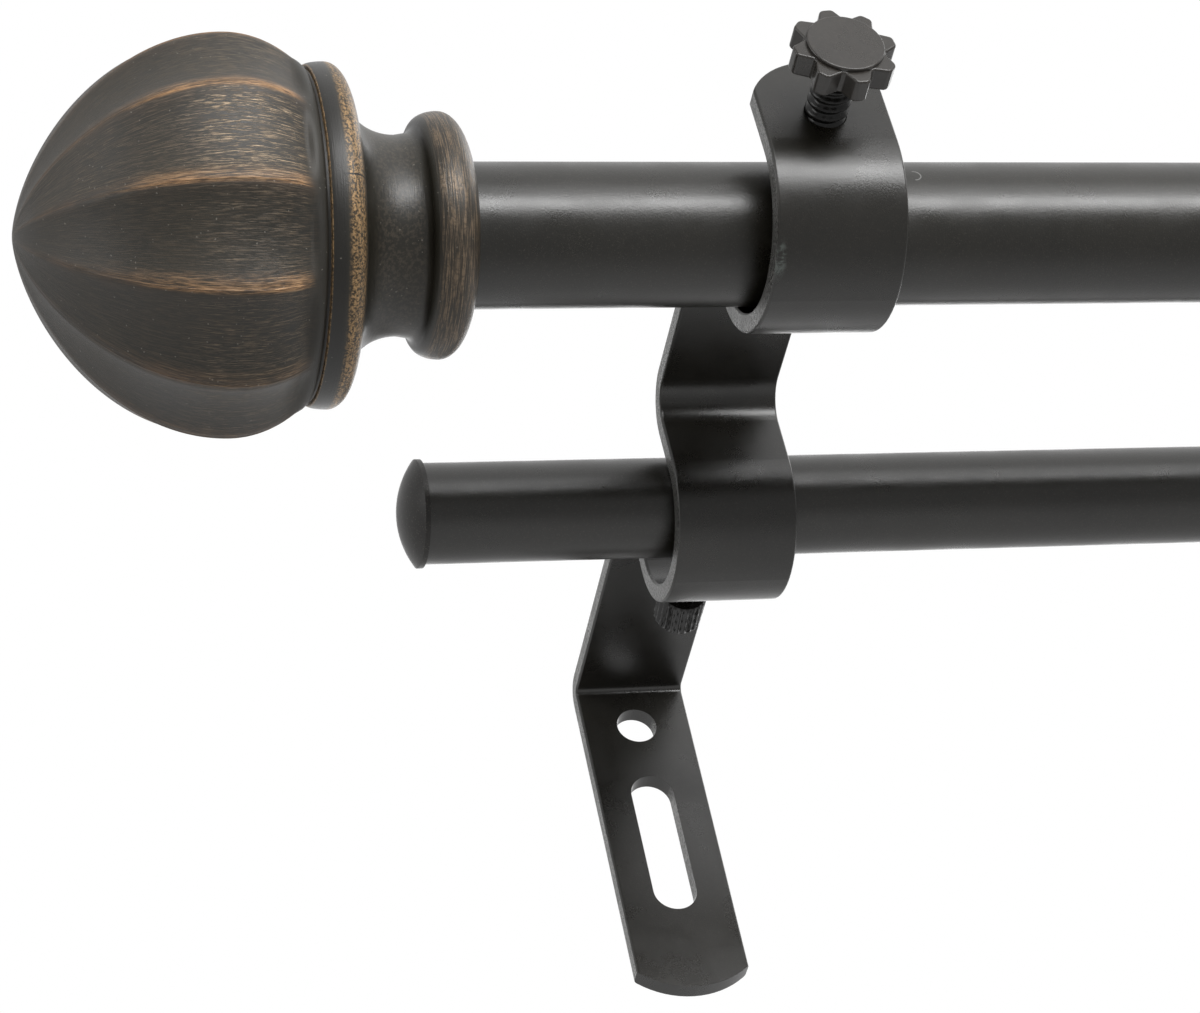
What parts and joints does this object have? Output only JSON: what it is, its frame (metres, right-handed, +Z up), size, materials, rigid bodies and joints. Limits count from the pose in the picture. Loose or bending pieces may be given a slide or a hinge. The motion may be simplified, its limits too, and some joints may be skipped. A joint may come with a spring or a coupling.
{
  "type": "double curtain pole",
  "caption": "Telescoping double curtain pole: bent strip wall brackets carry a thick front pole with fluted ball finials and a thinner rear pole with domed caps, held by clamp screws.",
  "frame": {"origin": "midway between the round screw holes of the two brackets, on the wall plane", "axes": "+X along the poles, +Y into the wall, +Z up"},
  "size_m": [0.8714, 0.1955, 0.0892],
  "materials": {
    "bracket_paint": "satin dark bronze powder coat",
    "pole_paint": "satin dark bronze paint with fine sparkle",
    "black_steel": "blackened steel, satin",
    "knob_plastic": "dark moulded plastic, satin",
    "brushed_bronze_resin": "cast resin painted dark bronze, ridges rubbed to copper",
    "plain_steel": "bright zinc plated",
    "nylon": "moulded nylon",
    "cap_paint": "satin dark bronze paint"
  },
  "bodies": {
    "wall_frame": {"bracket_left": "bracket_paint", "bracket_right": "bracket_paint", "front_pole_outer_tube": "pole_paint", "rear_pole_outer_tube": "pole_paint", "finial_left": "brushed_bronze_resin", "finial_stud_left": "plain_steel", "front_end_plug_left": "nylon", "rear_end_cap_left": "cap_paint"},
    "front_extension": {"front_pole_inner_tube": "pole_paint", "front_end_plug_right": "nylon", "finial_stud_right": "plain_steel", "finial_right": "brushed_bronze_resin"},
    "rear_extension": {"rear_pole_inner_tube": "pole_paint", "rear_end_cap_right": "cap_paint"},
    "front_screw_left": {"front_clamp_screw_left": "black_steel"},
    "front_knob_left": {"front_clamp_knob_left": "knob_plastic"},
    "front_screw_right": {"front_clamp_screw_right": "black_steel"},
    "front_knob_right": {"front_clamp_knob_right": "knob_plastic"},
    "rear_screw_left": {"rear_clamp_screw_left": "black_steel"},
    "rear_screw_right": {"rear_clamp_screw_right": "black_steel"}
  },
  "joints": [
    {"name": "front_pole_extends", "type": "slide", "parent": "wall_frame", "child": "front_extension", "axis": [1, 0, 0], "range_m": [-0.04, 0.34]},
    {"name": "rear_pole_extends", "type": "slide", "parent": "wall_frame", "child": "rear_extension", "axis": [1, 0, 0], "range_m": [-0.04, 0.34]},
    {"name": "front_screw_left_travel", "type": "slide", "parent": "wall_frame", "child": "front_screw_left", "axis": [0, -1, 0], "range_m": [0, 0.005]},
    {"name": "front_knob_left_turn", "type": "hinge", "parent": "front_screw_left", "child": "front_knob_left", "pos_m": [-0.3, -0.19, -0.0038], "axis": [0, -1, 0], "range_deg": [0, 900]},
    {"name": "front_screw_right_travel", "type": "slide", "parent": "wall_frame", "child": "front_screw_right", "axis": [0, -1, 0], "range_m": [0, 0.005]},
    {"name": "front_knob_right_turn", "type": "hinge", "parent": "front_screw_right", "child": "front_knob_right", "pos_m": [0.3, -0.19, -0.0038], "axis": [0, -1, 0], "range_deg": [0, 900]},
    {"name": "rear_screw_left_travel", "type": "slide", "parent": "wall_frame", "child": "rear_screw_left", "axis": [0, 1, 0], "range_m": [0, 0.005]},
    {"name": "rear_screw_right_travel", "type": "slide", "parent": "wall_frame", "child": "rear_screw_right", "axis": [0, 1, 0], "range_m": [0, 0.005]}
  ],
  "couplings": [
    {"joint": "front_knob_left_turn", "follows": "front_screw_left_travel", "rad_per_m": 3141.5},
    {"joint": "front_knob_right_turn", "follows": "front_screw_right_travel", "rad_per_m": 3141.5}
  ]
}
